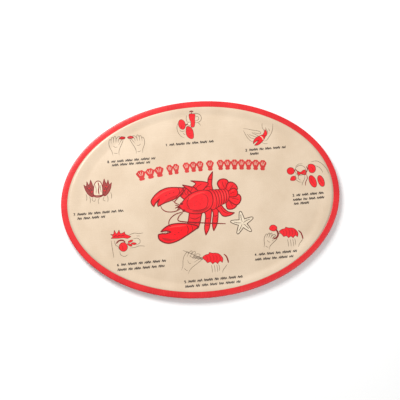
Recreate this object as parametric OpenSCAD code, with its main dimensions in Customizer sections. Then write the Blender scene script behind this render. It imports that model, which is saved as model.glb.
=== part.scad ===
// Oval serving platter for lobster: a moulded body, a printed ground foil, a red rim foil
// and the printed picture, laid out on a shallow dish with a foot ring.
// Frame: origin at the centre of the foot's base, +X along the platter, +Y to its top edge, +Z up.

/* [Platter] */
// Overall length, rim to rim
platter_l = 356; // [330:1:380]
// Overall width, rim to rim
platter_w = 254; // [240:1:270]
// Overall height, foot to lip
platter_h = 10; // [9:0.5:14]
// Height of the foot ring under the floor
foot_h = 4.5; // [3:0.5:6]
// Thickness of the floor, with its foil
floor_t = 3; // [2.5:0.1:4]
// Thickness of the lip, with its foil
lip_t = 3; // [2.6:0.1:4]

/* [Rim] */
// Width of the red band, from the outer edge
band_w = 8; // [5:0.5:8]
// Width of the whole rim at the platter's ends, from the outer edge to the flat floor
rim_w = 28; // [22:0.5:34]
// Width of the flat lip at the platter's ends, inside which the rim slopes down
lip_w = 12; // [11.5:0.5:14]

/* [Foot] */
// Distance of the foot ring from the outer edge, at the platter's ends
foot_in = 48; // [40:1:56]
// Width of the foot ring where it stands
foot_w = 4; // [2.5:0.1:5]

/* [Print] */
// Thickness of the coloured surface foils, with their glaze
foil_t = 0.5; // [0.4:0.05:0.6]
// Thickness of the printed inks
ink_t = 0.12; // [0.1:0.02:0.2]
// Height of one caption line
line_h = 2.2; // [1.6:0.1:2.8]
// Distance between caption lines
line_gap = 6.2; // [5.5:0.1:7]

/* [Hidden] */

body_colour = "#ece2cf";
ground_colour = "#ead3b2";
rim_colour = "#e8353b";
title_colour = "#dd4b45";
shell_colour = "#e23a34";
dark_colour = "#8c2a26";
hand_colour = "#d9bd98";
caption_colour = "#5b4539";

// Heights of the dish: underside of the floor, its top, and the underside of the lip
under_z = foot_h;
floor_z = foot_h + floor_t;
lip_z = platter_h;
lip_under_z = platter_h - lip_t;

semi_x = platter_l / 2;
semi_y = platter_w / 2;
curve_steps = 10;
fine = 180;

// A smooth step from a to b while u runs from 0 to 1
function ease(a, b, u) = a + (b - a) * (1 - cos(180 * u)) / 2;
function reversed(list) = [for (i = [len(list) - 1:-1:0]) list[i]];
// The rim's slope, from the floor at height a out to the lip at height b
function slope(a, b) = [
    for (i = [0:curve_steps])
        [semi_x - rim_w + (rim_w - lip_w) * i / curve_steps, ease(a, b, i / curve_steps)]
];
// Half section of the dish's upper surface, dropped by d, from the middle out to the edge
function upper(d) = concat([[0, floor_z - d]], slope(floor_z - d, lip_z - d), [[semi_x, lip_z - d]]);
// Half section of its underside, from the edge in to the foot
function lower() = concat(
    [[semi_x, lip_under_z + foil_t]], reversed(slope(under_z, lip_under_z + foil_t)), foot_rib(),
    [[0, under_z]]
);
// The foot ring: a drafted rib with softened corners, left a little long so that it can be ground flat
function foot_rib() = let (draft = 0.8, soft = 0.6, spare = 1) [
    for (p = [[draft, under_z], [0, soft], [-soft, 0], [-soft, -spare], [soft - foot_w, -spare],
              [soft - foot_w, 0], [-foot_w, soft], [-foot_w - draft, under_z]])
        [semi_x - foot_in + p.x, p.y]
];

// Turns a half section into an oval, narrowed from a round to the platter's width
module oval_turned() {
    scale([1, semi_y / semi_x, 1]) rotate_extrude($fn = fine) children();
}
// An upright oval slab, inside the outline by s all round, from z0 up to z1
module oval_slab(s, z0, z1) {
    translate([0, 0, z0]) scale([1, (semi_y - s) / (semi_x - s), 1])
        cylinder(r = semi_x - s, h = z1 - z0, $fn = fine);
}

// The body ends at the band's inner face, and its foot is ground flat
module platter_body() color(body_colour) difference() {
    intersection() {
        oval_turned() polygon(concat(upper(foil_t), lower()));
        oval_slab(foil_t, -platter_h, platter_h);
    }
    translate([-semi_x, -semi_y, -platter_h]) cube([platter_l, platter_w, platter_h]);
}

module ground_foil() color(ground_colour) intersection() {
    oval_turned() polygon(concat(upper(0), reversed(upper(foil_t))));
    oval_slab(band_w, 0, 2 * platter_h);
}

// The red band wraps the lip: over its top, round its edge and under it
module rim_band() color(rim_colour) difference() {
    oval_slab(0, lip_under_z, lip_z);
    oval_slab(foil_t, lip_under_z + foil_t, lip_z - foil_t);
    oval_slab(band_w, 0, 2 * platter_h);
}

// Printed shapes, drawn flat and laid on the floor
module printed() {
    translate([0, 0, floor_z]) linear_extrude(ink_t) children();
}
module oval(c, rx, ry, turn = 0) {
    n = 20;
    translate(c) rotate(turn) polygon([for (i = [0:n - 1]) [rx * cos(360 * i / n), ry * sin(360 * i / n)]]);
}
function heading(p, q) = atan2(q.y - p.y, q.x - p.x);
// A straight stroke of width w with round ends
module stroke(p, q, w) {
    l = norm(q - p);
    n = 6;
    translate(p) rotate(heading(p, q)) polygon(concat(
        [for (i = [0:n]) [-w / 2 * sin(180 * i / n), w / 2 * cos(180 * i / n)]],
        [for (i = [0:n]) [l + w / 2 * sin(180 * i / n), -w / 2 * cos(180 * i / n)]]
    ));
}
module path(points, w) {
    for (i = [0:len(points) - 2]) stroke(points[i], points[i + 1], w);
}

// Title: a chunky red ornament in five groups of blocks along a gentle arch
title_r = 550;
title_top = [5, 43];
title_h = 12;
// Each group: centre along the arch, number of blocks, pitch
TITLE_GROUPS = [[-67, 3, 11], [-36, 2, 7.8], [-12, 3, 7.8], [11, 1, 9], [52, 7, 9.2]];

module title_print() color(title_colour) printed()
    for (g = TITLE_GROUPS, i = [0:g[1] - 1]) {
        along = g[0] + (i - (g[1] - 1) / 2) * g[2];
        translate(title_top - [0, title_r]) rotate(-along / title_r * 180 / PI) translate([0, title_r])
            square([0.8 * g[2], title_h], center = true);
    }

// Lobster, drawn with its head towards -x and turned to rise to its tail
lobster_at = [-5, -2];
lobster_turn = 14;

module lobster_print() color(shell_colour) printed()
    translate(lobster_at) rotate(lobster_turn) {
        oval([0, 0], 20, 13);
        oval([-17, -1.5], 7, 6);
        for (i = [0:4]) oval([21 + 4.6 * i, 1.2 - 0.8 * i], 3.4, 11 - 0.9 * i, -4 * i);
        for (a = [-62, -35, -10, 15, 40]) oval([43, -3.5] + 9 * [cos(a - 12), sin(a - 12)], 7.5, 3.6, a - 12);
        upper_claw();
        lower_claw();
        legs();
    }
module upper_claw() {
    oval([-30, 21], 17, 8.5, 4);
    oval([-38, 13], 13, 3.6, 12);
    path([[-14, 20], [-4, 18], [-3, 10]], 5);
}
module lower_claw() {
    oval([-34, -36], 18, 9, 14);
    oval([-44, -26], 14, 4, -8);
    path([[-17, -31], [-6, -26], [-6, -10]], 5);
}
module legs() {
    for (l = [[[2, 10], [-2, 24]], [[8, 10], [14, 26]], [[13, 9], [26, 28]],
              [[-2, -10], [-4, -38]], [[5, -10], [8, -40]], [[12, -10], [22, -30]], [[15, -8], [40, -26]]])
        path(l, 2.6);
    path([[-22, 3], [-46, 8], [-56, 2]], 1.2);
    path([[-22, -4], [-50, -8], [-58, -16]], 1.2);
    path([[-14, -6], [4, -22], [28, -44]], 1.2);
}

starfish_at = [52, -34];
starfish_r = 15;

module starfish_print() color(dark_colour) printed()
    translate(starfish_at) rotate(10) difference() {
        polygon(star(starfish_r, 0.42));
        polygon(star(starfish_r - 2.4, 0.42));
    }
function star(r, waist) = [
    for (i = [0:9]) let (k = i % 2 == 0 ? 1 : waist) k * r * [cos(90 + 36 * i), sin(90 + 36 * i)]
];

// The eight steps: picture's place, and the lengths of the caption's lines
STEPS = [
    [[-5, 92], [-7, 74], [60]],
    [[76, 70], [84, 56], [48, 24]],
    [[122, 18], [129, -6], [32, 30, 26]],
    [[95, -54], [79, -73], [48, 40]],
    [[-1, -77], [8, -97], [56]],
    [[-95, -49], [-78, -74], [42, 28]],
    [[-122, 20], [-121, -8], [44, 36]],
    [[-80, 70], [-80, 55], [50, 38]]
];

// A step: its caption under its picture, which is drawn about its own centre
module step(i) {
    printed() translate(STEPS[i][0]) children();
    color(caption_colour) printed() translate(STEPS[i][1])
        for (k = [0:len(STEPS[i][2]) - 1])
            translate([0, -k * line_gap]) square([STEPS[i][2][k], line_h], center = true);
}
// A hand: palm, four fingers and a thumb, fingers towards +x
module hand(at, turn, size = 1, flip = 1) {
    translate(at) rotate(turn) scale(size) mirror([0, flip < 0 ? 1 : 0]) {
        oval([0, 0], 6, 5);
        for (f = [[4, 3.4, 9], [5, 1.2, 10.5], [5, -1.2, 10], [4, -3.4, 8.5]])
            stroke([f[0], f[1]], [f[2], f[1] * 1.15], 2);
        stroke([-1, 4], [4, 7.4], 2.2);
    }
}

module step_1_print() step(0) {
    color(shell_colour) { oval([0, 0], 6, 3.4); oval([-8, 2.4], 4, 1.8, 20); oval([-8, -2.4], 4, 1.8, -20); }
    color(hand_colour) { hand([15, 1], 185); hand([-23, 2], 0, 1, -1); }
}
module step_2_print() step(1) {
    color(shell_colour) { oval([-2, 0], 11, 4.4, 30); oval([5, 7], 5, 2.2, 60); }
    color(hand_colour) { hand([-18, -6], 10); hand([20, 3], 190); }
}
module step_3_print() step(2) {
    color(shell_colour) { oval([-7, 1], 6.5, 4.5, 15); oval([8, 0], 6.5, 4.5, -15); }
    color(dark_colour) oval([0, -9], 6, 2.4);
    color(hand_colour) { hand([-12, 11], -60, 0.8); hand([14, 11], 240, 0.8, -1); }
}
module step_4_print() step(3) {
    color(shell_colour) { oval([-3, 0], 11, 5, 10); oval([13, 3], 5, 2.4, 50); }
    color(hand_colour) hand([-20, 5], -10);
}
module step_5_print() step(4) {
    color(shell_colour) { oval([6, 1], 13, 5.6, 8); oval([22, 0], 3, 4.6); }
    color(hand_colour) { hand([-25, 6], -20); path([[-14, 4], [-9, 3]], 1.4); }
}
module step_6_print() step(5) {
    color(shell_colour) oval([3, -7], 12, 4.4, 4);
    color(dark_colour) oval([2, 3], 11, 3.4, 8);
    color(hand_colour) { hand([-17, 7], -20); hand([18, 11], 200); }
}
module step_7_print() step(6) {
    color(dark_colour) for (a = [-40, -14, 14, 40]) oval(13 * [sin(a), cos(a)] - [0, 6], 3, 6.4, -a);
    color(shell_colour) oval([0, -3], 12, 3.6);
    color(hand_colour) { hand([-17, -11], 30, 0.8); hand([17, -11], 150, 0.8, -1); }
}
module step_8_print() step(7) {
    color(dark_colour) { oval([-2, 0], 12, 2, 10); oval([9, 4], 5, 1.6, 50); }
    color(hand_colour) { hand([-21, 0], 0); hand([19, 2], 180, 1, -1); }
}

platter_body();
ground_foil();
rim_band();
title_print();
lobster_print();
starfish_print();
step_1_print();
step_2_print();
step_3_print();
step_4_print();
step_5_print();
step_6_print();
step_7_print();
step_8_print();
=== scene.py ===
import math

import bmesh
import bpy
from mathutils import Matrix, Vector


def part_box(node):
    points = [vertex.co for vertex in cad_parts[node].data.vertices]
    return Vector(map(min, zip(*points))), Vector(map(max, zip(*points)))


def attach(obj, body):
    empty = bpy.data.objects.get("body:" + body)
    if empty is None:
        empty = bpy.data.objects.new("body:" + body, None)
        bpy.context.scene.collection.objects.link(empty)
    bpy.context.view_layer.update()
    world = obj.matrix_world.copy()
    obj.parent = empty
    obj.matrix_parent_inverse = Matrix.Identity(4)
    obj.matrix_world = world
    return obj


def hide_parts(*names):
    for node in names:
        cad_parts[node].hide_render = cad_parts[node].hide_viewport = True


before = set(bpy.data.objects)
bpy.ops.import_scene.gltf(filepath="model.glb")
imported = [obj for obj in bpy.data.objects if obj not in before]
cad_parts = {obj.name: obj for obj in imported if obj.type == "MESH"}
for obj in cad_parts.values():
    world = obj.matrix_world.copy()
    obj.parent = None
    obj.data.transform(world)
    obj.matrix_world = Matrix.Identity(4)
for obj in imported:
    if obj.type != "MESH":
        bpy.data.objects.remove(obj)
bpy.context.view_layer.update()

MM = 0.001

# ---------------------------------------------------------------- the dish, from the frame

band_low, band_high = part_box("rim_band")
foil_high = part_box("ground_foil")[1]
body_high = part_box("platter_body")[1]

SEMI_X = band_high[0]
SEMI_Y = band_high[1]
LIP_Z = band_high[2]
LIP_UNDER_Z = band_low[2]
FLOOR_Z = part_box("lobster_print")[0][2]
BAND_W = SEMI_X - foil_high[0]
FOIL_T = SEMI_X - body_high[0]

# The floor's thickness with its foil, and how far the ground foil's outer edge lies below the lip's top
FLOOR_T = 3.0 * MM
LIP_DROP = 0.25 * MM
FLOOR_UNDER_Z = FLOOR_Z - FLOOR_T
FOIL_EDGE_Z = LIP_Z - LIP_DROP

# Distances in from the outer edge, at the platter's ends
RIM_W = 28 * MM
LIP_W = 12 * MM
FOOT_OUT = 48 * MM
FOOT_W = 4 * MM

# Sides of every oval, and a ring part way in that keeps the faces of the flat floor short
OVAL_STEPS = 288
FLOOR_RING = SEMI_X * 0.7


def ease(start, end, share):
    """A smooth step from start to end while share runs from 0 to 1."""
    share = min(max(share, 0.0), 1.0)
    return start + (end - start) * (1 - math.cos(math.pi * share)) / 2


def rim_place(x, y):
    """How far a point lies in from the edge, measured as at the platter's ends."""
    return SEMI_X - math.hypot(x, y * SEMI_X / SEMI_Y)


def surface_z(x, y):
    """Height of the dish's printed surface over a point."""
    return ease(FOIL_EDGE_Z, FLOOR_Z, (rim_place(x, y) - LIP_W) / (RIM_W - LIP_W))


def section_ring(inset, z):
    """A ring of the section: this far in from the ends, in the platter's proportion all round."""
    return SEMI_X - inset, (SEMI_X - inset) * SEMI_Y / SEMI_X, z


def edge_ring(inset, z):
    """A ring at the same distance in from the edge all round."""
    return SEMI_X - inset, SEMI_Y - inset, z


def oval_shell(name, rings, closed=False):
    """A skin through oval rings, each (half length, half width, height). A closed one meets its first."""
    bm = bmesh.new()
    first = bmesh.ops.create_circle(bm, segments=OVAL_STEPS, radius=1)["verts"]
    half_x, half_y, height = rings[0]
    bmesh.ops.scale(bm, vec=(half_x, half_y, 1), verts=first)
    bmesh.ops.translate(bm, vec=(0, 0, height), verts=first)
    edges = list(bm.edges)
    first_edges = list(edges)
    for ring in rings[1:]:
        made = bmesh.ops.extrude_edge_only(bm, edges=edges)["geom"]
        verts = [g for g in made if isinstance(g, bmesh.types.BMVert)]
        edges = [g for g in made if isinstance(g, bmesh.types.BMEdge)]
        bmesh.ops.translate(bm, vec=(0, 0, ring[2] - height), verts=verts)
        bmesh.ops.scale(bm, vec=(ring[0] / half_x, ring[1] / half_y, 1), verts=verts)
        half_x, half_y, height = ring
    if closed:
        bmesh.ops.bridge_loops(bm, edges=first_edges + edges)
    else:
        bmesh.ops.edgeloop_fill(bm, edges=first_edges)
        bmesh.ops.edgeloop_fill(bm, edges=edges)
    return finished(name, bm)


def finished(name, bm, smooth=True):
    """Turns a bmesh into an object with its faces pointing outwards."""
    bmesh.ops.recalc_face_normals(bm, faces=bm.faces)
    mesh = bpy.data.meshes.new(name)
    bm.to_mesh(mesh)
    bm.free()
    for polygon in mesh.polygons:
        polygon.use_smooth = smooth
    piece = bpy.data.objects.new(name, mesh)
    bpy.context.scene.collection.objects.link(piece)
    return piece


def place(piece, slot, *nodes):
    """The piece rides on the platter's one body and stands for those CAD nodes."""
    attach(piece, "root")
    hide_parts(*nodes)


# ---------------------------------------------------------------- materials


class Material:
    """A node material with one principled shader, and short calls to add its nodes."""

    def __init__(self, name, roughness):
        self.material = bpy.data.materials.new(name)
        self.material.use_nodes = True
        self.tree = self.material.node_tree
        self.shader = self.tree.nodes["Principled BSDF"]
        self.shader.inputs["Roughness"].default_value = roughness
        self.place = self.tree.nodes.new("ShaderNodeTexCoord").outputs["Object"]

    def node(self, kind, links, **settings):
        """Adds a node. Each link is a socket's name with a value or with another node's output."""
        node = self.tree.nodes.new(kind)
        for key, value in settings.items():
            setattr(node, key, value)
        for socket, source in links:
            if isinstance(source, bpy.types.NodeSocket):
                self.tree.links.new(source, node.inputs[socket])
            else:
                node.inputs[socket].default_value = source
        return node

    def noise(self, scale, detail=2.0, roughness=0.5, stretch=None):
        """Cloudy noise. scale is in waves a metre, and stretch lengthens it along an axis."""
        where = self.place
        if stretch:
            stretched = self.node("ShaderNodeMapping", [("Vector", where), ("Scale", stretch)])
            where = stretched.outputs["Vector"]
        links = [("Vector", where), ("Scale", scale), ("Detail", detail), ("Roughness", roughness)]
        return self.node("ShaderNodeTexNoise", links).outputs["Fac"]

    def spread(self, source, low, high, to_low=0.0, to_high=1.0):
        """Stretches the range from low to high over the range from to_low to to_high."""
        links = [("Value", source), ("From Min", low), ("From Max", high),
                 ("To Min", to_low), ("To Max", to_high)]
        return self.node("ShaderNodeMapRange", links).outputs["Result"]

    def mix(self, factor, first, second):
        """Blends two colours. The mix node's colour sockets are inputs 6 and 7 and output 2."""
        links = [(0, factor), (6, first), (7, second)]
        return self.node("ShaderNodeMix", links, data_type="RGBA").outputs[2]

    def colour(self, source):
        self.tree.links.new(source, self.shader.inputs["Base Color"])

    def roughness(self, source):
        self.tree.links.new(source, self.shader.inputs["Roughness"])

    def bump(self, source, distance, strength):
        """Adds a bump on top of the bumps so far."""
        last = self.shader.inputs["Normal"]
        links = [("Height", source), ("Distance", distance), ("Strength", strength)]
        if last.is_linked:
            links.append(("Normal", last.links[0].from_socket))
        self.tree.links.new(self.node("ShaderNodeBump", links).outputs["Normal"], last)


def srgb(red, green, blue):
    """A display colour of 0 to 255 as the shader's linear colour."""

    def linear(value):
        value /= 255
        return value / 12.92 if value <= 0.04045 else ((value + 0.055) / 1.055) ** 2.4

    return (linear(red), linear(green), linear(blue), 1.0)


# How much rougher the glaze is where it has been wiped
WIPED_ROUGHER = 0.06


def glazed(name, base, shade, wave, roughness=0.26):
    """Melamine under its clear glaze: a cloudy, speckled colour, a wavy gloss and fine wiping marks."""
    made = Material(name, roughness)
    clouds = made.spread(made.noise(wave, detail=3.0, roughness=0.55), 0.36, 0.64)
    specks = made.spread(made.noise(1900, roughness=0.6), 0.52, 0.8, to_high=0.28)
    made.colour(made.mix(specks, made.mix(clouds, shade, base), shade))
    along = made.noise(330, detail=4.0, roughness=0.7, stretch=(1.0, 0.09, 1.0))
    across = made.noise(290, detail=4.0, roughness=0.7, stretch=(0.08, 1.0, 1.0))
    wiped = made.node("ShaderNodeMath", [(0, along), (1, across)], operation="MAXIMUM").outputs[0]
    made.roughness(made.spread(wiped, 0.5, 0.78, roughness, roughness + WIPED_ROUGHER))
    made.bump(made.noise(34), distance=0.9 * MM, strength=0.35)
    made.bump(made.noise(620), distance=0.02 * MM, strength=0.2)
    return made.material


cream = glazed("cream melamine", srgb(236, 227, 208), srgb(228, 217, 196), wave=18, roughness=0.34)
tan = glazed("tan printed ground", srgb(216, 195, 170), srgb(207, 185, 159), wave=24)
rim_red = glazed("red rim foil", srgb(221, 41, 44), srgb(209, 33, 38), wave=40)

# ---------------------------------------------------------------- body, ground foil and band

# Rings on the rim's slope, and steps of the band's crest and of its rounded nose
SLOPE_STEPS = 32
CREST_STEPS = 6
NOSE_STEPS = 12

# The band's wall under the lip, where the band ends there, and the moulding's clearance inside it
BAND_UNDER_T = 0.45 * MM
BAND_UNDER_END = BAND_W - 0.6 * MM
BODY_UNDER_Z = LIP_UNDER_Z + 0.4 * MM
BODY_RIM_UNDER_Z = LIP_UNDER_Z + 0.5 * MM


def rim_slope(low, high):
    """Rings of the rim's slope, from the floor at height low out to the lip at height high."""
    return [
        section_ring(RIM_W + (LIP_W - RIM_W) * i / SLOPE_STEPS, ease(low, high, i / SLOPE_STEPS))
        for i in range(SLOPE_STEPS + 1)
    ]


def foot_rings():
    """Rings round the foot: down its outer side, across its sole and up its inner side."""
    # One side, rounded into the floor and at the sole: how far it lies inside the foot's face, and height
    side = [
        (-1.8 * MM, FLOOR_UNDER_Z),
        (-0.9 * MM, FLOOR_UNDER_Z - 0.25 * MM),
        (-0.45 * MM, FLOOR_UNDER_Z - 0.9 * MM),
        (-0.1 * MM, 0.8 * MM),
        (0.15 * MM, 0.25 * MM),
        (0.7 * MM, 0.0),
    ]
    outer = [section_ring(FOOT_OUT + inside, z) for inside, z in side]
    inner = [section_ring(FOOT_OUT + FOOT_W - inside, z) for inside, z in reversed(side)]
    return outer + inner


def make_body():
    """The moulding: its hidden top under the foil, the rim's underside and the foot ring."""
    top = [section_ring(FLOOR_RING, FLOOR_Z - FOIL_T)]
    top += rim_slope(FLOOR_Z - FOIL_T, FOIL_EDGE_Z - FOIL_T)
    lip = [
        edge_ring(BAND_W, FOIL_EDGE_Z - FOIL_T),
        edge_ring(2 * MM, FOIL_EDGE_Z - FOIL_T),
        edge_ring(1.2 * MM, (LIP_Z + LIP_UNDER_Z) / 2),
        edge_ring(2 * MM, BODY_UNDER_Z),
        edge_ring(BAND_UNDER_END, BODY_UNDER_Z),
        edge_ring(BAND_W + 0.2 * MM, BODY_RIM_UNDER_Z),
    ]
    under = list(reversed(rim_slope(FLOOR_UNDER_Z, BODY_RIM_UNDER_Z)))
    middle = [section_ring(SEMI_X * 0.5, FLOOR_UNDER_Z)]
    body = oval_shell("moulded_body", top + lip + under + foot_rings() + middle)
    body.data.materials.append(cream)
    place(body, "body_resin", "platter_body")


def make_ground():
    """The tan foil that carries the picture, from the middle out to the red band."""
    edge = BAND_W - 0.05 * MM
    upper = [section_ring(FLOOR_RING, FLOOR_Z)] + rim_slope(FLOOR_Z, FOIL_EDGE_Z)
    upper += [edge_ring(edge, FOIL_EDGE_Z)]
    lower = [edge_ring(edge, FOIL_EDGE_Z - FOIL_T)]
    lower += list(reversed(rim_slope(FLOOR_Z - FOIL_T, FOIL_EDGE_Z - FOIL_T)))
    lower += [section_ring(FLOOR_RING, FLOOR_Z - FOIL_T)]
    foil = oval_shell("printed_ground", upper + lower)
    foil.data.materials.append(tan)
    place(foil, "ground_foil", "ground_foil")


def make_band():
    """The red band, wrapped over the lip, round its edge and under it."""
    crest = 3.6 * MM
    nose = (LIP_Z - LIP_UNDER_Z) / 2
    over = []
    for i in range(CREST_STEPS + 1):
        height = ease(FOIL_EDGE_Z + 0.03 * MM, LIP_Z, i / CREST_STEPS)
        over.append((BAND_W + (crest - BAND_W) * i / CREST_STEPS, height))
    over.append((nose + 0.7 * MM, LIP_Z))
    for i in range(NOSE_STEPS + 1):
        turn = math.pi / 2 - math.pi * i / NOSE_STEPS
        over.append((nose - nose * math.cos(turn), LIP_UNDER_Z + nose + nose * math.sin(turn)))
    over.append((BAND_UNDER_END, LIP_UNDER_Z))
    inside = [
        (BAND_UNDER_END, LIP_UNDER_Z + BAND_UNDER_T),
        (nose, LIP_UNDER_Z + BAND_UNDER_T),
        (0.5 * MM, LIP_UNDER_Z + nose),
        (nose, LIP_Z - 0.6 * MM),
        (BAND_W, LIP_Z - 0.7 * MM),
    ]
    band = oval_shell("red_band", [edge_ring(inset, z) for inset, z in over + inside], closed=True)
    band.data.materials.append(rim_red)
    place(band, "rim_red", "rim_band")


make_body()
make_ground()
make_band()

# ---------------------------------------------------------------- printed inks and how they are drawn

shell_red = glazed("lobster red ink", srgb(238, 32, 40), srgb(224, 24, 34), wave=60)
claw_red = glazed("bright claw ink", srgb(243, 10, 26), srgb(232, 6, 22), wave=60)
shade_red = glazed("shaded red ink", srgb(196, 26, 30), srgb(180, 20, 26), wave=60)
hatched_red = glazed("hatched shell ink", srgb(156, 62, 54), srgb(140, 50, 44), wave=60)
light_red = glazed("highlight ink", srgb(240, 66, 62), srgb(236, 56, 54), wave=60)
outline_dark = glazed("outline ink", srgb(138, 22, 24), srgb(118, 16, 20), wave=80)
title_red = glazed("title ink", srgb(206, 56, 52), srgb(194, 48, 46), wave=60)
sketch_dark = glazed("sketch ink", srgb(84, 62, 48), srgb(68, 50, 38), wave=80)
hand_brown = glazed("hand line ink", srgb(130, 112, 92), srgb(116, 98, 80), wave=80)
caption_dark = glazed("caption ink", srgb(60, 46, 40), srgb(48, 38, 34), wave=80)
pale_fill = glazed("pale paper ink", srgb(226, 209, 184), srgb(220, 201, 174), wave=60)

# Heights over the foil: the lowest fills, the step to each further level of fills, a mark on a fill,
# the rounding of a line and the underside of all ink, which is sunk in the foil
BASE = 0.02 * MM
LEVEL = 0.009 * MM
MARK = 0.003 * MM
DOME = 0.003 * MM
ROOT = -0.1 * MM

# Longest straight stretch of a curve, in millimetres, and the grid that lets a fill follow the rim's slope
CURVE_STEP = 1.0
SLOPE_GRID = 0.8 * MM
# Duplicate points nearer than this, in millimetres, are merged
MERGE = 0.0001
# How fast a line swells from its thin ends to its full width
SWELL = 1.6


def smooth(points, closed):
    """A smooth line through the points, in millimetres. A third value makes a point a sharp corner."""
    count = len(points)
    knots = [Vector(p[:2]) for p in points]
    pulls = []
    for i, point in enumerate(points):
        before = knots[i - 1] if closed or i > 0 else knots[i]
        after = knots[(i + 1) % count] if closed or i < count - 1 else knots[i]
        pulls.append(Vector((0, 0)) if len(point) > 2 else (after - before) / 2)
    line = []
    for i in range(count if closed else count - 1):
        a, b = knots[i], knots[(i + 1) % count]
        pull_a, pull_b = pulls[i], pulls[(i + 1) % count]
        steps = max(2, math.ceil((b - a).length / CURVE_STEP))
        for k in range(steps):
            u = k / steps
            line.append(
                a * (1 + u * u * (2 * u - 3)) + pull_a * (u * (1 - u) ** 2)
                + b * (u * u * (3 - 2 * u)) + pull_b * (u * u * (u - 1))
            )
    if not closed:
        line.append(knots[-1])
    return line


class Print:
    """One printed picture: flat fills and round lines, level over level, then laid on the dish."""

    def __init__(self, name):
        self.name = name
        self.bm = bmesh.new()
        self.inks = []
        self.level = 0

    def add(self, curve, ink, top, dome=0.0):
        """Turns a curve into ink: its upper side at the given height, its lower side sunk in the foil."""
        holder = bpy.data.objects.new("ink", curve)
        mesh = bpy.data.meshes.new_from_object(holder)
        if ink not in self.inks:
            self.inks.append(ink)
        stroke = bmesh.new()
        stroke.from_mesh(mesh)
        bmesh.ops.remove_doubles(stroke, verts=stroke.verts, dist=MERGE)
        highest = max(v.co.z for v in stroke.verts)
        underside = -0.01 * highest
        for vert in stroke.verts:
            height = ROOT
            if vert.co.z > underside:
                height = BASE + self.level * LEVEL + top + dome * vert.co.z / highest
            vert.co = (vert.co.x * MM, vert.co.y * MM, height)
        if dome == 0 and min(rim_place(v.co.x, v.co.y) for v in stroke.verts) < RIM_W:
            self.cut(stroke)
        for face in stroke.faces:
            face.material_index = self.inks.index(ink)
        bmesh.ops.recalc_face_normals(stroke, faces=stroke.faces)
        stroke.to_mesh(mesh)
        stroke.free()
        self.bm.from_mesh(mesh)
        bpy.data.objects.remove(holder)
        bpy.data.meshes.remove(mesh)
        bpy.data.curves.remove(curve)

    def cut(self, stroke):
        """Cuts a fill along a grid, so that it can bend with the slope under it."""
        for axis in (Vector((1, 0, 0)), Vector((0, 1, 0))):
            along = [axis.dot(v.co) for v in stroke.verts]
            start, end = min(along), max(along)
            for i in range(1, math.ceil((end - start) / SLOPE_GRID)):
                everything = list(stroke.verts) + list(stroke.edges) + list(stroke.faces)
                there = axis * (start + i * SLOPE_GRID)
                bmesh.ops.bisect_plane(stroke, geom=everything, plane_co=there, plane_no=axis)

    def lay(self, slot, *nodes):
        """Drops the picture on the dish's surface and makes it a piece."""
        for vert in self.bm.verts:
            vert.co.z += surface_z(vert.co.x, vert.co.y)
        piece = finished(self.name, self.bm, smooth=False)
        for ink in self.inks:
            piece.data.materials.append(ink)
        place(piece, slot, *nodes)


class Pen:
    """Draws on a print in its own place, turn and size, in millimetres."""

    def __init__(self, picture, turn_and_place=None):
        self.picture = picture
        self.frame = turn_and_place or Matrix.Identity(4)

    def at(self, x, y, turn=0.0, size=1.0, flip=False):
        """A pen moved, turned in degrees, resized and, if flipped, mirrored left to right."""
        moved = Matrix.Translation((x, y, 0)) @ Matrix.Rotation(math.radians(turn), 4, "Z")
        sized = Matrix.Diagonal((-size if flip else size, size, 1, 1))
        return Pen(self.picture, self.frame @ moved @ sized)

    def curve(self, points, closed):
        """A curve through the points, in this pen's place."""
        curve = bpy.data.curves.new("ink", "CURVE")
        line = [self.frame @ Vector((p.x, p.y, 0)) for p in smooth(points, closed)]
        spline = curve.splines.new("POLY")
        spline.points.add(len(line) - 1)
        for point, where in zip(spline.points, line):
            point.co = (where.x, where.y, 0, 1)
        spline.use_cyclic_u = closed
        return curve, spline

    def fill(self, points, ink, top=0.0):
        """A flat closed shape."""
        curve, _ = self.curve(points, True)
        curve.dimensions = "2D"
        curve.fill_mode = "BOTH"
        curve.extrude = 1.0
        self.picture.add(curve, ink, top)

    def mark(self, points, ink):
        """A patch of another tone on a filled shape."""
        self.fill(points, ink, MARK)

    def line(self, points, ink, width=0.5, closed=False, thin=0.35):
        """A drawn line that narrows to its ends, to thin times its width."""
        curve, spline = self.curve(points, closed)
        curve.dimensions = "3D"
        curve.bevel_depth = width / 2
        curve.bevel_resolution = 1
        curve.use_fill_caps = True
        last = len(spline.points) - 1
        for i, point in enumerate(spline.points):
            swell = min(1.0, thin + (1 - thin) * math.sin(math.pi * i / last) * SWELL)
            point.radius = 1.0 if closed else swell
        self.picture.add(curve, ink, MARK + 0.3 * DOME, DOME)

    def shape(self, points, ink, width=1.4, edge=None):
        """A filled shape with its drawn outline, over what has been drawn."""
        self.picture.level += 1
        self.fill(points, ink)
        self.line(points, edge or outline_dark, width, closed=True)

    def blob(self, x, y, half_x, half_y, turn, width=0.7):
        """A filled red oval with its outline."""
        self.shape(ring(x, y, half_x, half_y, turn), shell_red, width)


def ring(x, y, half_x, half_y, turn=0.0, count=12):
    """Points round an oval."""
    spin = math.radians(turn)
    around = []
    for i in range(count):
        angle = 2 * math.pi * i / count
        u, v = half_x * math.cos(angle), half_y * math.sin(angle)
        right = x + u * math.cos(spin) - v * math.sin(spin)
        up = y + u * math.sin(spin) + v * math.cos(spin)
        around.append((right, up))
    return around


# ---------------------------------------------------------------- the lobster


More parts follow.
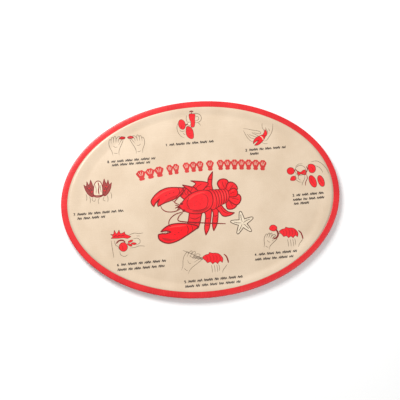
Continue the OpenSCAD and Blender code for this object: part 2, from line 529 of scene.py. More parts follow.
def petal(pen, x, y, turn, length, width, ink):
    """A rounded tail flipper with its ribs, growing from its narrow end."""
    here = pen.at(x, y, turn)
    half = width / 2
    here.shape(
        [
            (0, -1.6), (length * 0.4, -half * 0.8), (length * 0.8, -half), (length, -half * 0.45),
            (length * 1.02, half * 0.4), (length * 0.8, half), (length * 0.4, half * 0.8), (0, 1.6),
        ],
        ink,
    )
    here.line([(length * 0.34, -0.4), (length * 0.62, 0.4), (length * 0.88, 0.2)], outline_dark, 0.8)
    here.line([(length * 0.55, -half * 0.45), (length * 0.8, -half * 0.5)], shade_red, 0.8)
    here.line([(length * 0.5, half * 0.5), (length * 0.84, half * 0.6)], light_red, 0.9)


def lobster_legs(pen):
    """Walking legs: two straight ones and a leaf below, three hooked ones above."""
    pen.shape(
        [
            (3, -12), (12, -13), (11.5, -22), (9.5, -31), (7, -39), (2.5, -46, 1), (1.6, -38),
            (3, -30), (4.5, -21),
        ],
        shell_red,
    )
    pen.shape(
        [
            (13, -11), (21.5, -11), (20.5, -21), (19, -30), (16.5, -36), (13, -41.5, 1), (12, -35),
            (13, -27), (14.5, -19),
        ],
        shell_red,
    )
    pen.shape(
        [
            (17, -9), (24, -8), (29, -14.5), (34, -19), (41.5, -21, 1), (35, -24), (27, -24),
            (22.5, -18),
        ],
        shell_red,
    )
    for x, y in ((6.5, -24), (16.5, -22)):
        pen.line([(x - 2.6, y), (x, y - 1.2), (x + 3, y - 0.4)], outline_dark, 0.9)
        pen.line([(x - 3, y - 9), (x - 0.6, y - 10), (x + 1.6, y - 9.4)], outline_dark, 0.9)
        pen.line([(x + 1.4, y - 3), (x + 0.6, y - 8)], shade_red, 0.9)
    pen.line([(24.5, -12), (28, -18), (34, -21.6)], outline_dark, 0.8)
    pen.shape(
        [(3, 8), (7, 15), (11, 20), (13, 27), (19, 34.5, 1), (17.8, 27), (16.4, 19), (15.5, 8)],
        shell_red,
    )
    pen.shape(
        [
            (-2, 8), (4, 11.4), (8, 15.2), (12, 19.6), (6, 22.6), (-10, 25, 1), (-4, 21), (-9, 16),
            (-10, 8),
        ],
        shell_red,
    )
    pen.shape([(-13, 6), (-14, 12), (-21, 20.5, 1), (-12, 18), (-5, 15), (-2, 8)], shell_red)
    pen.line([(8, 14), (11, 16), (14.6, 15)], outline_dark, 0.9)
    pen.line([(12.6, 24), (14.6, 25), (17, 24)], outline_dark, 0.9)
    pen.line([(-6, 12), (-2, 17), (4, 20)], outline_dark, 0.8)
    pen.line([(-12, 11), (-9, 15), (-13, 18)], outline_dark, 0.8)
    for x, y in ((12, 13), (9, 11), (-3, 12), (13.4, 29)):
        pen.line([(x, y), (x + 1.6, y + 1.4)], shade_red, 0.9)


def lobster_arms(pen):
    """The two arms between the body and its claws."""
    pen.shape(
        [(-13, -12), (0, -13), (-1.5, -23), (-4, -31), (-8, -37), (-19, -33.5), (-17.5, -24)],
        shell_red,
    )
    pen.line([(-15.8, -22), (-9, -24.5), (-2.2, -22)], outline_dark, 0.9)
    pen.line([(-16.8, -27), (-9, -30), (-3.2, -28)], outline_dark, 0.8)
    pen.shape([(-10, 6), (-13, 12), (-18, 16.5), (-25, 16.4), (-26.5, 10), (-20, 2)], shell_red)
    for i in range(3):
        x, y = -13 - 3.8 * i, 6 + 0.9 * i
        pen.line([(x, y), (x - 2.4, y + 3.6), (x - 1.2, y + 7.4)], outline_dark, 0.9)


def pincer_teeth(pen, start, end, count, depth):
    """A row of small dark teeth along a pincer's inner edge."""
    near, far = Vector(start), Vector(end)
    across = Vector((near.y - far.y, far.x - near.x)).normalized() * depth
    for i in range(count):
        foot = near.lerp(far, (i + 0.5) / count)
        pen.line([tuple(foot), tuple(foot + across)], outline_dark, 0.7, thin=0.6)


def upper_claw(pen):
    """The claw above, its pincer open to the left."""
    pen.shape(
        [
            (-21, 16), (-29, 18), (-38, 18.6), (-44, 17.8), (-51, 15), (-58, 9.6), (-62.6, 3.4),
            (-62, -1), (-59.8, -4, 1), (-57.8, -0.6), (-52, 5, 1), (-54.8, -0.8), (-54.4, -4.2, 1),
            (-46, -0.6), (-37, 2), (-29, 5), (-22.5, 9),
        ],
        shell_red, 1.4,
    )
    pen.mark(
        [(-58, 7.4), (-50, 12.8), (-40, 16), (-30, 16), (-40, 14.8), (-49, 11.2), (-57, 5.6)],
        light_red,
    )
    pen.mark([(-49, -1.6), (-42, 1.6), (-33, 5), (-26, 9), (-33, 7.4), (-42, 4.6)], shade_red)
    pincer_teeth(pen, (-58.4, -1.4), (-53.4, 3.4), 4, 1.4)
    pen.line([(-27, 17.5), (-25.6, 13), (-27.4, 8)], outline_dark, 0.9)
    for x, y in ((-33, 12), (-38, 11), (-43, 9)):
        pen.line([(x - 1.2, y), (x + 1.2, y + 0.5)], outline_dark, 0.8)


def lower_claw(pen):
    """The larger claw below, brighter than the rest."""
    pen.shape(
        [
            (-7, -35), (-18, -31.5), (-29, -30), (-39, -30.5), (-47, -33.5), (-53, -38.5, 1),
            (-46, -38), (-40.5, -40, 1), (-47, -41.6), (-52, -41.2), (-56.5, -42, 1),
            (-56.2, -47.5), (-51, -52), (-43.5, -54), (-33, -51.8), (-22, -46.5), (-12, -41),
            (-6.5, -37.5),
        ],
        claw_red, 1.6,
    )
    pen.mark([(-53, -46), (-48, -50.4), (-41, -51.6), (-32, -49), (-40, -49), (-48, -47)], shade_red)
    pen.mark(
        [(-20, -33.6), (-29, -32.4), (-38, -32.8), (-44, -35), (-37, -34.4), (-28, -34.2)],
        light_red,
    )
    pincer_teeth(pen, (-41.5, -40.3), (-52, -41.3), 5, -1.5)
    pen.line([(-20, -33), (-18.2, -38), (-20, -44)], outline_dark, 0.9)
    pen.line([(-14, -34), (-12.6, -37.5), (-14, -41)], outline_dark, 0.8)
    for x, y in ((-27, -39), (-31, -42), (-36, -44)):
        pen.line([(x - 1.2, y), (x + 1.2, y + 0.5)], outline_dark, 0.8)


# Rings of the abdomen
TAIL_RINGS = 6


def lobster_tail(pen):
    """The tail fan, then the ringed abdomen from the fan up to the body."""
    petal(pen, 33, 5, 100, 18.5, 14, shell_red)
    petal(pen, 35, -1, -68, 15, 14, shell_red)
    petal(pen, 34, 4, 47, 16.5, 14.5, shell_red)
    petal(pen, 35, 0, -20, 16.5, 14, shell_red)
    petal(pen, 33, 2.5, 14, 15, 11, claw_red)
    for i in reversed(range(TAIL_RINGS)):
        u = i / (TAIL_RINGS - 1)
        x, y = 14.5 + 17.5 * u, -1.6 + 3.4 * u
        half_y = 13.0 - 4.0 * u
        pen.shape(ring(x, y, 6.2 - 1.2 * u, half_y, 4 - 8 * u), shell_red, 1.0)
        pen.line(
            [
                (x + 2.8, y + half_y * 0.6), (x + 3.6, y + half_y * 0.1),
                (x + 3.2, y - half_y * 0.3),
            ],
            light_red, 0.8,
        )
        pen.line([(x + 2.4, y - half_y * 0.5), (x + 1.2, y - half_y * 0.84)], shade_red, 0.9)


def lobster_body(pen):
    """The shell of the head and back, with its eyes and the mouth's short feelers."""
    pen.shape(
        [
            (-30, -7.5, 1), (-24, -2), (-18, 4), (-10, 9), (-1, 11.4), (8, 11.2), (14, 8), (16, 0),
            (14, -9), (8, -15), (-2, -18), (-13, -17), (-21, -13.5), (-25, -10.5),
        ],
        shell_red, 1.2,
    )
    pen.mark(
        [(-12, -15), (-2, -16.6), (7, -13.6), (12.6, -7), (9, -10), (0, -13.2), (-9, -13)],
        shade_red,
    )
    pen.mark([(-17, 2), (-9, 7), (0, 9), (7, 8.6), (0, 7.4), (-8, 4.8), (-14, 1)], light_red)
    pen.line(
        [(-19, -9), (-12, -12.5), (-2, -13.6), (6, -11), (9.4, -3), (8, 4), (2, 7.4)],
        outline_dark, 0.8,
    )
    pen.line([(-14, 4), (-17.5, -3), (-15, -11)], outline_dark, 0.8)
    for x, y in ((-5, -2), (-1, -6), (2, 1), (-8, -7), (4, -4)):
        pen.line([(x - 0.5, y), (x + 0.5, y + 0.1)], shade_red, 0.9, thin=0.9)
    for x, y in ((-24.5, -3.4), (-22.5, -12.6)):
        pen.mark(ring(x, y, 1.9, 1.7, count=8), outline_dark)
    for x, y in ((-33, -4.5), (-33.5, -8.6), (-31, -12)):
        pen.line([(-26, -8), (x / 2 - 13.5, y / 2 - 3.2), (x, y)], outline_dark, 1.1)


def lobster_feelers(pen):
    """Two short looped feelers, a long one crossing the legs and the jointed one beside the upper arm."""
    pen.line(
        [(-25, -9), (-34, -12.6), (-44, -12), (-49.6, -8), (-51.4, -2.6)],
        outline_dark, 1.1, thin=0.5,
    )
    pen.line(
        [(-24, -14), (-34, -16.5), (-41, -22), (-43, -28), (-41, -31.5)],
        outline_dark, 1.1, thin=0.5,
    )
    pen.line(
        [(-24, -15), (-29, -19), (-31, -24), (-25, -26.5), (-4, -29.8), (29, -34)],
        outline_dark, 1.4, thin=0.6,
    )
    pen.line([(-26, -5), (-33, -1), (-29, 4), (-16, 16.5)], outline_dark, 1.2, thin=0.6)
    pen.line([(-33, -1), (-35.5, 2.2), (-31, 5), (-19, 17)], outline_dark, 0.9, thin=0.5)


def make_lobster():
    """The whole lobster, from its legs underneath to the feelers on top."""
    picture = Print("lobster_print")
    pen = Pen(picture).at(-1.8, -1.9)
    lobster_legs(pen)
    lobster_arms(pen)
    lobster_tail(pen)
    lobster_body(pen)
    upper_claw(pen)
    lower_claw(pen.at(-0.8, 1.7))
    lobster_feelers(pen)
    picture.lay("shell_ink", "lobster_print")


# The starfish's arms, and the angle from one to the next in degrees
STAR_ARMS = 5
STAR_TURN = 360 / STAR_ARMS


def make_starfish():
    """A pale starfish with a rib and three short marks on every arm."""
    picture = Print("starfish_print")
    pen = Pen(picture).at(48.6, -37, 5, 1.05)
    outline = []
    for i in range(STAR_ARMS):
        tip = math.radians(90 + STAR_TURN * i)
        notch = math.radians(90 + STAR_TURN * (i + 0.5))
        for away, reach in ((-0.24, 10), (-0.07, 14.2), (0.07, 14.2), (0.24, 10)):
            outline.append((reach * math.cos(tip + away), reach * math.sin(tip + away)))
        outline.append((5.6 * math.cos(notch), 5.6 * math.sin(notch), 1))
    pen.shape(outline, pale_fill, 1.0, sketch_dark)
    for i in range(STAR_ARMS):
        arm = pen.at(0, 0, 90 + STAR_TURN * i)
        arm.line([(1.2, 0), (6, 0.4), (11, 0)], sketch_dark, 0.7)
        for k in range(3):
            mark = [(4 + 2.4 * k, 1.7 - 0.3 * k), (4.6 + 2.4 * k, 1.4 - 0.3 * k)]
            arm.line(mark, sketch_dark, 0.5, thin=0.8)
    picture.lay("outline_ink", "starfish_print")


# ---------------------------------------------------------------- the ornament over the lobster

# The runs of shells along the arch, each with its ends and its number of shells
SHELL_RUNS = ((-80, -45, 3), (-41, -25, 2), (-20, 6.4, 3), (10, 19.6, 1), (23.7, 87.2, 7))
# A shell's height in millimetres, the share of its pitch that it fills, and its lobes
SHELL_HEIGHT = 12.8
SHELL_FILL = 0.97
SHELL_LOBES = 4
# The arch's radius and its highest point
ARCH_RADIUS = 550
ARCH_TOP = (4, 41.2)


def scallop(pen, width, height):
    """A solid scallop shell standing on its hinge, with pale ribs between its lobes."""
    half = width / 2
    fan = height * 0.12
    rise = height / 2 - fan
    turn = 180 / SHELL_LOBES
    hinge = ((0.42, height / 2, 1), (0.66, height * 0.37, 1), (0.5, height * 0.28))
    outline = [(-half * across, -down, *corner) for across, down, *corner in hinge]
    for i in range(2 * SHELL_LOBES + 1):
        angle = math.radians(180 - turn * i / 2)
        out = 1.08 if i % 2 else 0.95
        outline.append((half * out * math.cos(angle), fan + rise * out * math.sin(angle)))
    outline += [(half * across, -down, *corner) for across, down, *corner in reversed(hinge)]
    pen.shape(outline, title_red, 0.6, title_red)
    for i in range(1, SHELL_LOBES):
        angle = math.radians(180 - turn * i)
        foot = (half * 0.3 * math.cos(angle), -height * 0.04)
        tip = (half * 0.72 * math.cos(angle), fan + rise * 0.7 * math.sin(angle))
        pen.line([foot, tip], pale_fill, 0.5)


def make_title():
    """The runs of scallop shells, each shell leaning with the arch."""
    picture = Print("title_print")
    pen = Pen(picture)
    for start, end, count in SHELL_RUNS:
        for i in range(count):
            x = start + (end - start) * (i + 0.5) / count
            lean = math.asin((x - ARCH_TOP[0]) / ARCH_RADIUS)
            y = ARCH_TOP[1] - ARCH_RADIUS * (1 - math.cos(lean))
            shell = pen.at(x, y, -math.degrees(lean))
            scallop(shell, SHELL_FILL * (end - start) / count, SHELL_HEIGHT)
    picture.lay("title_ink", "title_print")


# ---------------------------------------------------------------- captions of the eight steps

# Strokes of the numerals in a box 1.9 wide and 3 high
NUMERALS = {
    1: [[(0.3, 2.4), (1.1, 3, 1), (1.1, 0)]],
    2: [[(0.1, 2.3), (0.6, 2.9), (1.4, 2.9), (1.7, 2.2), (1.1, 1.1), (0, 0, 1), (1.9, 0)]],
    3: [[(0.1, 2.8), (1.1, 3), (1.7, 2.3), (0.8, 1.6, 1), (1.8, 0.9), (1.1, 0), (0, 0.3)]],
    4: [[(1.3, 0), (1.3, 3, 1), (0, 0.9, 1), (1.9, 0.9)]],
    5: [[(1.7, 3), (0.4, 3, 1), (0.3, 1.7, 1), (1.3, 1.8), (1.7, 0.9), (1, 0), (0.1, 0.2)]],
    6: [[(1.5, 2.9), (0.5, 2.1), (0.1, 0.9), (0.8, 0), (1.7, 0.6), (1.3, 1.5), (0.3, 1.2)]],
    7: [[(0.1, 3), (1.8, 3, 1), (0.7, 0)]],
    8: [[(0.9, 1.6), (0.2, 2.3), (0.9, 3), (1.6, 2.3), (0.9, 1.6), (0.1, 0.8), (0.9, 0), (1.7, 0.8),
         (0.9, 1.6)]],
}
NUMERAL_HEIGHT = 3
# Lengths of the scribbled words, taken in turn, the gap after each and the shortest stretch worth one
WORD_LENGTHS = (9, 6, 11, 5, 8)
WORD_GAP = 2.4
WORD_LEAST = 3
# How far the first word starts after its numeral, the pitch of a word's strokes and the pen's width
AFTER_NUMERAL = 5
STROKE_PITCH = 1.0
CAPTION_WIDTH = 0.85


def scribble(pen, x, y, length):
    """One word of a caption, as a plain wavy stroke with no letters in it."""
    count = round(length / STROKE_PITCH)
    wave = []
    for i in range(count + 1):
        tall = 1.35 + 0.35 * math.sin(2.3 * i + x)
        wave.append((x + length * i / count, y + (tall if i % 2 else -1.45)))
    pen.line(wave, caption_dark, CAPTION_WIDTH, thin=0.9)


def caption(pen, numeral, lines):
    """A numeral and its lines of scribbled words. Each line is (start, end, height)."""
    first_x, _, first_y = lines[0]
    for stroke in NUMERALS[numeral]:
        numeral_pen = pen.at(first_x, first_y - NUMERAL_HEIGHT / 2)
        numeral_pen.line(stroke, caption_dark, CAPTION_WIDTH, thin=0.9)
    full_stop = [(first_x + 2.9, first_y - 1.3), (first_x + 3.1, first_y - 1.2)]
    pen.line(full_stop, caption_dark, 0.9, thin=0.9)
    turn = numeral
    for k, (start, end, y) in enumerate(lines):
        x = start + (AFTER_NUMERAL if k == 0 else 0)
        while x < end - WORD_LEAST:
            length = min(WORD_LENGTHS[turn % len(WORD_LENGTHS)], end - x)
            scribble(pen, x, y, length)
            x += length + WORD_GAP
            turn += 1


# ---------------------------------------------------------------- pictures of the eight steps


def hand(pen, width):
    """An open hand in plain outline, fingers up, thumb to the right, wrist 12 mm below its middle."""
    pen.line(
        [(-4, -12), (-5, -7), (-7.6, -2), (-9.2, 3), (-9, 8), (-7.8, 10.4), (-6.4, 9), (-6, 4.6)],
        hand_brown, width,
    )
    pen.line([(-6.3, 7), (-5.5, 12.4), (-4, 13.4), (-3, 11), (-2.8, 5.6)], hand_brown, width)
    pen.line([(-3, 9), (-2, 13.8), (-0.4, 14.6), (0.6, 12), (0.4, 6)], hand_brown, width)
    pen.line(
        [(0.6, 9.6), (2.8, 13.4), (6, 14.2), (6.6, 12.4), (4.2, 10.4), (3.4, 6)],
        hand_brown, width,
    )
    pen.line(
        [
            (5, -12), (4.4, -8), (5.4, -3), (8.6, 4.4), (10.4, 9.4), (9.2, 10.8), (7.4, 8.4),
            (5.2, 4.4), (4, 2.6),
        ],
        hand_brown, width,
    )
    pen.line([(-3.4, 1.4), (-0.6, -0.6), (2.4, 0)], hand_brown, width * 0.8)
    pen.line([(-2.6, -8.6), (0.6, -9.4), (2.8, -8.8)], hand_brown, width * 0.8)


def tail_piece(pen):
    """A tail on its side, 24 mm long, its plates as points along the bottom."""
    pen.shape(
        [
            (-12, 1.6), (-8.6, 4.6), (-4.4, 5.6), (-3.6, 7.4), (0, 6.4), (4.6, 6.2), (8.6, 4.4),
            (12, -0.6), (11, -5.4, 1), (8.4, -3.4), (5.4, -6.6, 1), (2.8, -4.4), (-0.4, -6.4, 1),
            (-3, -3.8), (-6.6, -4.8, 1), (-8.6, -2),
        ],
        shell_red, 0.7,
    )
    for i in range(5):
        x = -7 + 3.8 * i
        pen.line([(x - 0.8, 4.4 - 0.3 * abs(i - 2)), (x + 0.8, 0.6), (x, -3)], shade_red, 0.9)


def bent_flipper(pen):
    """A dark flipper curling down beside the tail."""
    pen.line([(0, 5), (2.2, 1.8), (3.4, -2.4), (3.8, -6)], outline_dark, 1.7, thin=0.5)
    pen.line([(-1, 5.6), (1, 3.4)], outline_dark, 1.2)


def step_1(pen):
    """The lobster held up, a claw twisted off."""
    pen.blob(-8.6, 2, 4.4, 6.6, 8)
    pen.line([(-11, -3.6), (-9, -1), (-9.4, 1.4)], outline_dark, 0.6)
    pen.line([(-4.6, 0.4), (-2, 1.6), (-0.6, 2)], outline_dark, 1.6, thin=0.7)
    pen.shape(
        [
            (2, 14.6), (5.6, 15), (9.4, 14), (8.6, 8), (8.4, 3), (6.6, -2.4), (3, -2), (3.4, 4),
            (1.8, 9),
        ],
        shell_red, 0.7,
    )
    pen.shape(
        [
            (-2.6, -1.4), (1.6, -2.2), (4.4, -6), (5.2, -12), (4.4, -17), (1, -17.8), (-3.2, -14),
            (-4.2, -8),
        ],
        shell_red, 0.7,
    )
    for i in range(3):
        pen.line([(-2.8 + 0.4 * i, -6.4 - 3 * i), (0.6, -7.6 - 3 * i), (4, -7 - 3 * i)], shade_red, 0.8)
    pen.line([(4.4, 12), (5.6, 9), (5.4, 5)], shade_red, 0.9)
    pen.line([(2.4, 17.4), (5, 18.4), (7.6, 17.2)], outline_dark, 1.5, thin=0.6)
    pen.line([(5, 17.6), (5.2, 15)], outline_dark, 0.9)
    pen.shape(ring(0.9, 2.2, 2.1, 2.1), pale_fill, 0.6, hand_brown)
    pen.line(
        [(6.6, 14.4), (11, 15.2), (15.8, 13), (17.4, 8.6), (15.4, 4.6), (11, 2.8), (8.6, 3.4)],
        hand_brown, 0.7,
    )
    pen.line([(9, 10.6), (12.6, 11), (14, 8.4), (12, 6), (9, 6.2)], hand_brown, 0.6)
    pen.line([(12, 2.8), (14.4, 0.6), (15, -1.6)], hand_brown, 0.6)
    pen.line([(-1.4, 13.6), (-2.4, 9), (-1.8, 5.6), (-0.6, 4.6)], hand_brown, 0.6)
    pen.line([(-13.6, 4.4), (-15.4, -1.4), (-14.6, -8), (-11, -13.6), (-7, -16)], hand_brown, 0.6)
    pen.line([(-12.4, -5), (-9.4, -7.4), (-5.6, -6.6)], hand_brown, 0.6)
    pen.line([(-8.4, -9.4), (-5.8, -12.4)], hand_brown, 0.6)


def step_2(pen):
    """A claw held in two hands to be cracked."""
    claw = pen.at(0, -7, 36)
    claw.shape(
        [
            (-9.6, 1, 1), (-6.4, 3.8), (-1, 4.6), (4.6, 3.2), (9, 1), (9.4, -1.6), (4, -4),
            (-2, -4.6), (-7, -3.8), (-9.8, -1.4, 1), (-5, -0.9), (-1, 0.2, 1), (-5, 0.9),
        ],
        shell_red, 0.7,
    )
    claw.line([(3.8, 3.8), (4.8, 0), (3.6, -4.2)], pale_fill, 1.1)
    claw.shape(
        [(8.4, 1.6), (12, 3.4), (14.8, 5.2, 1), (14.4, 1.4), (12, -1.6), (9, -1.8)],
        shell_red, 0.6,
    )
    pen.line(
        [
            (-19.6, 9.4), (-14, 8.4), (-7, 6.2), (-1.4, 5), (3, 2.4), (1.4, 0.6), (-4.6, 2.2),
            (-9, 3),
        ],
        hand_brown, 0.6,
    )
    pen.line([(-9, 3), (-3, -0.6), (-1, -2.4), (-3.4, -3.4), (-8.6, -1), (-12.6, 0.8)], hand_brown, 0.6)
    pen.line([(-19.4, 7), (-17, 0.6), (-14, -5), (-10.4, -8.4), (-7.6, -8.8)], hand_brown, 0.6)
    pen.line([(-15, 2), (-11.4, -3.4), (-6, -5.4)], hand_brown, 0.6)
    pen.line([(6, 14.6), (5.6, 9), (7.6, 4), (6.8, 1)], hand_brown, 0.6)
    pen.line(
        [(19.6, 12.4), (18.8, 5.6), (16.4, 0), (13, -4.4), (9.4, -8.6), (6, -9.4)],
        hand_brown, 0.6,
    )
    pen.line([(9.4, 8.8), (11.6, 3.4), (12.2, -0.4)], hand_brown, 0.6)
    pen.line([(13.6, 6.8), (14.8, 3)], hand_brown, 0.6)
    pen.line([(2.4, -10.6), (6.2, -13), (10.4, -13)], hand_brown, 0.5)


def step_3(pen):
    """The tail snapped back off the body: claws and halves laid out round two hands."""
    pen.blob(-21, 7.4, 4.8, 4.6, 10)
    pen.shape([(-22.6, -4.6), (-21, -0.6), (-17, 0.4), (-14.8, -2.4), (-17.4, -5.4)], shell_red, 0.6)
    pen.shape(
        [
            (-12.4, 6.4), (-8.6, 4.6), (-4.6, 7), (-1.4, 6.6), (-1.6, 1.4), (-5, 1), (-8.4, 2.4),
            (-12, 0.4),
        ],
        shell_red, 0.7,
    )
    pen.shape(
        [(2.4, 13), (6.6, 14.2), (10.8, 11.6), (11.4, 6.2), (8.4, 2.8), (4, 3.4), (2.2, 7.4)],
        shell_red, 0.7,
    )
    pen.blob(6, -8.6, 4.3, 8.2, 16)
    pen.blob(16.6, -9.2, 3.7, 7.6, 14)
    pen.line([(3.6, -4), (5.2, -8.6), (8, -13.6)], shade_red, 0.9)
    pen.line([(14.6, -4.6), (16.2, -9), (18.6, -13.4)], shade_red, 0.9)
    pen.line([(5, 10.6), (7.6, 8.4), (8.4, 5)], shade_red, 0.9)
    pen.line([(-16.6, 6), (-14.6, 8.6), (-12.4, 6)], outline_dark, 1.2)
    pen.line([(-1, 3.4), (1, 8.6), (-0.4, 12)], outline_dark, 1.2)
    pen.line(ring(-8.4, 7.2, 7, 6.4, 12), hand_brown, 0.6, closed=True)
    pen.line([(-14.6, 2.4), (-16.4, -2.8), (-12.4, -7.4), (-8.4, -8.4)], hand_brown, 0.6)
    pen.line([(-11, 1.4), (-12.4, -3), (-9.6, -5.8)], hand_brown, 0.6)
    pen.line([(-1, 1), (-0.6, -4), (-3.4, -9), (-4, -13.6)], outline_dark, 0.9)
    pen.line([(-3.4, 0.4), (-4, -4), (-7.6, -9.6), (-8.4, -13)], hand_brown, 0.6)
    pen.line([(6.6, 17), (13.4, 17.4), (19.6, 13.6), (24.6, 7), (27.6, -0.6)], hand_brown, 0.6)
    pen.line([(11.6, 11.6), (16.4, 8.4), (19.4, 3.6), (19.6, 1.6)], hand_brown, 0.6)
    pen.line([(-14, 12.4), (-10, 15.4), (-4.6, 15.4)], hand_brown, 0.5)


def holding_fingers(pen):
    """The second hand in a few lines: fingers below the tail and the outside of the palm."""
    for x in (-2.4, 1.0, 4.2):
        pen.line([(x, -8), (x + 0.4, -13), (x + 0.2, -17.6)], hand_brown, 0.6)
    pen.line([(6.4, -7.6), (7.4, -11), (6.6, -16.4)], hand_brown, 0.6)
    pen.line([(17.4, -9), (14.6, -12.4), (12, -15.2), (10.4, -19)], hand_brown, 0.6)


def step_4(pen):
    """The flippers bent back off the tail."""
    tail_piece(pen.at(8.4, 3.4, -4))
    bent_flipper(pen.at(22, 0))
    pen.shape(
        [(-15.6, 10.4), (-13.4, 14.6), (-9, 15), (-5.8, 12), (-7, 8.2), (-11.6, 7.6)],
        shell_red, 0.7,
    )
    pen.line([(-7.4, 9.6), (-5.4, 5.2), (-5.8, 1), (-9, -2), (-12, -1.2)], outline_dark, 2.2, thin=0.6)
    pen.line([(-4.6, 4), (-3.4, 3.4)], outline_dark, 1.6, thin=0.8)
    pen.line([(-12.6, 11), (-10.6, 12.6)], shade_red, 0.9)
    hand(pen.at(-18, -5.4, -28, 0.78), 0.75)
    holding_fingers(pen.at(8.4, 3.4))


def step_5(pen):
    """A fork pushed through the tail from behind."""
    tail_piece(pen.at(9, 1.6, -2, 1.06))
    bent_flipper(pen.at(24.4, 0.4))
    hand(pen.at(-20.6, -1, -34, 1.08), 0.6)
    for i in range(4):
        pen.line(
            [(-14.6, 8.4 - 1.3 * i), (-8, 5.4 - 0.9 * i), (-3.4, 3.4 - 0.7 * i)],
            sketch_dark, 0.5, thin=0.7,
        )
    pen.line([(-27.6, 15.4), (-21, 12), (-14.6, 8.4), (-15, 4.4), (-20, 8)], sketch_dark, 0.6)
    holding_fingers(pen.at(9, 1.6))


def step_6(pen):
    """The back shell pulled away from the body."""
    pen.shape(
        [
            (-20.6, 12.8, 1), (-17, 12.6), (-15.6, 17.6, 1), (-13, 12.8), (-9.6, 17.4, 1),
            (-8, 12.6), (-2.8, 14.4, 1), (-2.4, 11.4), (1.4, 9.4), (4.6, 7.6, 1), (0.4, 5.8),
            (-5, 7), (-11, 7), (-20.4, 7.6, 1), (-18, 10),
        ],
        shell_red, 0.7,
    )
    for i in range(3):
        pen.line(
            [(-17 + 4.6 * i, 9), (-14.6 + 4.6 * i, 10.4), (-12.6 + 4.6 * i, 9.4)],
            outline_dark, 0.9,
        )
    pen.line([(-14.6, 0.4), (-11, 3.6), (-6, 3.8), (-3, 0.8)], outline_dark, 1.8, thin=0.6)
    pen.blob(-6, -4.6, 5.2, 5.6, 6)
    pen.line([(-8.2, -1.8), (-6.8, -5), (-7.4, -8)], shade_red, 0.9)
    for x, y, turn in ((3.4, 1.8, 18), (7.4, -1.6, -8), (2.2, -2.6, -30)):
        pen.blob(x, y, 3.2, 1.3, turn, width=0.6)
    pen.line([(-20.4, 5.4), (-20, -3), (-19.4, -10), (-19, -17)], hand_brown, 0.6)
    pen.line([(-16.6, 4.4), (-15.4, -1.4), (-12.4, -3.4), (-11.4, -7.6)], hand_brown, 0.6)
    pen.line([(-10.8, -9.4), (-10, -14), (-5.4, -16.6), (-1, -14.6)], hand_brown, 0.6)
    pen.line([(1.6, 9.4), (8.4, 11.6), (15, 10.6), (20.4, 11)], hand_brown, 0.6)
    pen.line([(6.4, 4.4), (12, 5), (15.4, 2.4), (14.8, -1.4), (10.4, -3.6)], hand_brown, 0.6)
    pen.line([(2, -6.6), (8.6, -6.4), (14, -5), (21, -6)], hand_brown, 0.6)
    pen.line([(11.4, 8), (15.6, 7.4)], hand_brown, 0.5)


def half_shell(pen):
    """One half of the opened body, with three spiky legs up its outer side."""
    pen.shape(
        [
            (-17.4, 9.6, 1), (-14.6, 7.4), (-13.4, 13.6, 1), (-11, 8.6), (-8.6, 15.2, 1),
            (-6.8, 9.4), (-5.4, 2), (-5.4, -4.4), (-8, -6.6), (-12.4, -3.4), (-15.8, 2.4),
        ],
        hatched_red, 0.9,
    )
    pen.line([(-14.6, 6), (-11, 2), (-8.4, -3.6)], outline_dark, 1.0)
    pen.line([(-11.6, 7), (-8.8, 3), (-7, -1.4)], outline_dark, 0.9)
    pen.line([(-9.6, -0.6), (-6.4, 0.4)], shell_red, 1.0)
    pen.line([(-12.2, 4.4), (-9, 5.4)], shell_red, 1.0)


def step_7(pen):
    """The rest of the body broken in half by two hands."""
    half_shell(pen)
    half_shell(pen.at(0, 0, flip=True))
    pen.shape(
        [
            (-5.4, -4.6), (-5.8, 2), (-4, 9.4), (-0.6, 13), (3.4, 12), (5.6, 6), (5.4, -2),
            (4, -5.4),
        ],
        pale_fill, 1.1,
    )
    pen.line([(0.6, 11.6), (1.4, 6), (0.4, 1), (0.8, -4.4)], outline_dark, 1.4, thin=0.6)
    pen.line([(-3, 8), (-2.4, 2), (-3, -3)], sketch_dark, 0.6)
    pen.line([(3.6, 8), (3.2, 3), (3.6, -2)], sketch_dark, 0.6)
    pen.line([(-7.4, -4.6), (-3.4, -7), (2.4, -7), (7.6, -4.4)], outline_dark, 1.6, thin=0.6)
    for x, y in ((-15.6, -2.4), (-11.4, -6), (10.8, -6.2), (15.6, -2.6)):
        pen.line([(x, y), (x + 0.8, y - 4), (x, y - 8.6)], hand_brown, 0.6)
    pen.line([(-7, -7), (-8.4, -10.6), (-5.6, -12.4), (-4, -9)], hand_brown, 0.6)
    pen.line([(1, -8.4), (-1, -12.4), (-0.4, -16.4)], hand_brown, 0.6)
    pen.line([(7, -7.4), (5.4, -11.4), (8, -13.4)], hand_brown, 0.6)


def step_8(pen):
    """The claw meat picked out between two hands."""
    for side in (-1, 1):
        mirrored = side > 0
        hand(pen.at(14.6 * side, -2.4, 4 * side, 0.92, flip=mirrored), 0.7)
        half = pen.at(0, 8.6, flip=mirrored)
        half.shape(
            [(-9.4, -0.6), (-6, 1.8), (-1.4, 0.6, 1), (-2.4, -1.4), (-6.4, -1.6)],
            shade_red, 0.6,
        )
        half.line([(-7.4, 0), (-4, 0.4)], shell_red, 0.8)


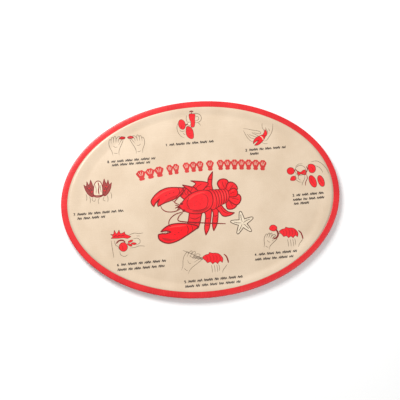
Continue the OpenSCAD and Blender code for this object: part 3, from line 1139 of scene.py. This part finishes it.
# Each step: its picture, where the picture's middle lies, and its caption's lines as (start, end, height)
STEPS = (
    (step_1, (-7.5, 96), ((-39.5, 23, 72.5),)),
    (step_2, (82, 76.6), ((62.6, 115, 57), (68, 84, 51.6))),
    (step_3, (139, 17.4), ((116.7, 161, -7.3), (116.7, 159, -13.1), (117.3, 141, -18.2))),
    (step_4, (97.6, -58.2), ((60, 116, -78.6), (59.6, 113, -84.8))),
    (step_5, (-2.7, -80), ((-32, 42, -104.3), (-31.5, 40, -110.4))),
    (step_6, (-98.2, -49), ((-113.6, -52.6, -75.5), (-113.4, -55, -81.8))),
    (step_7, (-130, 20), ((-163, -100.5, -7.5), (-158.2, -124, -13))),
    (step_8, (-88.9, 78), ((-115.4, -50, 56.7), (-110, -60, 52))),
)


def make_steps():
    """A print for each step, with its picture and its caption."""
    for number, (draw, (x, y), lines) in enumerate(STEPS, 1):
        picture = Print(f"step_{number}_print")
        pen = Pen(picture)
        draw(pen.at(x, y))
        caption(pen, number, lines)
        picture.lay("step_ink", f"step_{number}_print")


make_lobster()
make_starfish()
make_title()
make_steps()

# ---------------------------------------------------------------- floor, light and camera

# Half the floor's side in metres, and the hair's breadth that it lies under the foot
FLOOR_HALF = 6
FLOOR_GAP = 0.05 * MM


def make_floor():
    """A plain pale floor under the platter."""
    bm = bmesh.new()
    bmesh.ops.create_grid(bm, x_segments=1, y_segments=1, size=FLOOR_HALF)
    bmesh.ops.translate(bm, vec=(0, 0, -FLOOR_GAP), verts=bm.verts)
    floor = finished("floor", bm, smooth=False)
    pale = Material("pale floor", 0.75)
    pale.shader.inputs["Base Color"].default_value = (0.98, 0.98, 0.975, 1.0)
    floor.data.materials.append(pale.material)


def softbox(name, place_at, size, power):
    """A round soft light that looks at the platter."""
    light = bpy.data.lights.new(name, "AREA")
    light.shape = "DISK"
    light.size = size
    light.energy = power
    lamp = bpy.data.objects.new(name, light)
    lamp.location = place_at
    lamp.rotation_euler = (-Vector(place_at)).to_track_quat("-Z", "Y").to_euler()
    bpy.context.scene.collection.objects.link(lamp)


def make_world(strength):
    """Even white light from all round."""
    world = bpy.data.worlds.new("soft room")
    world.use_nodes = True
    background = world.node_tree.nodes["Background"]
    background.inputs["Color"].default_value = (1.0, 1.0, 1.0, 1.0)
    background.inputs["Strength"].default_value = strength
    bpy.context.scene.world = world


def make_camera(tilt_x, tilt_y, distance, roll, lens, aim):
    """A camera over the platter.

    It leans from straight above by tilt_x towards -X and by tilt_y towards -Y, looks at aim from that
    distance, and rolls about its own axis. The angles are in degrees and the lens in millimetres.
    """
    lean_x, lean_y = math.tan(math.radians(tilt_x)), math.tan(math.radians(tilt_y))
    out = Vector((-lean_x, -lean_y, 1.0)).normalized()
    camera = bpy.data.objects.new("camera", bpy.data.cameras.new("camera"))
    camera.data.lens = lens
    camera.data.clip_start = 0.01
    along = Vector((1, 0, 0)) - out * out.x
    along.normalize()
    up = out.cross(along)
    turn = Matrix.Rotation(math.radians(roll), 3, out)
    basis = Matrix((turn @ along, turn @ up, out)).transposed()
    camera.matrix_world = Matrix.Translation(Vector(aim) + out * distance) @ basis.to_4x4()
    bpy.context.scene.collection.objects.link(camera)
    bpy.context.scene.camera = camera


make_floor()
make_world(0.43)
softbox("key", (-0.36, 0.55, 0.75), size=0.5, power=9.5)
softbox("fill", (0.9, -0.7, 1.6), size=1.6, power=9.5)
make_camera(
    tilt_x=4.0,
    tilt_y=9.2,
    distance=1.0,
    roll=-5.02,
    lens=70.1,
    aim=(-1.9 * MM, -1.4 * MM, 0.0),
)
bpy.context.scene.view_settings.view_transform = "Standard"
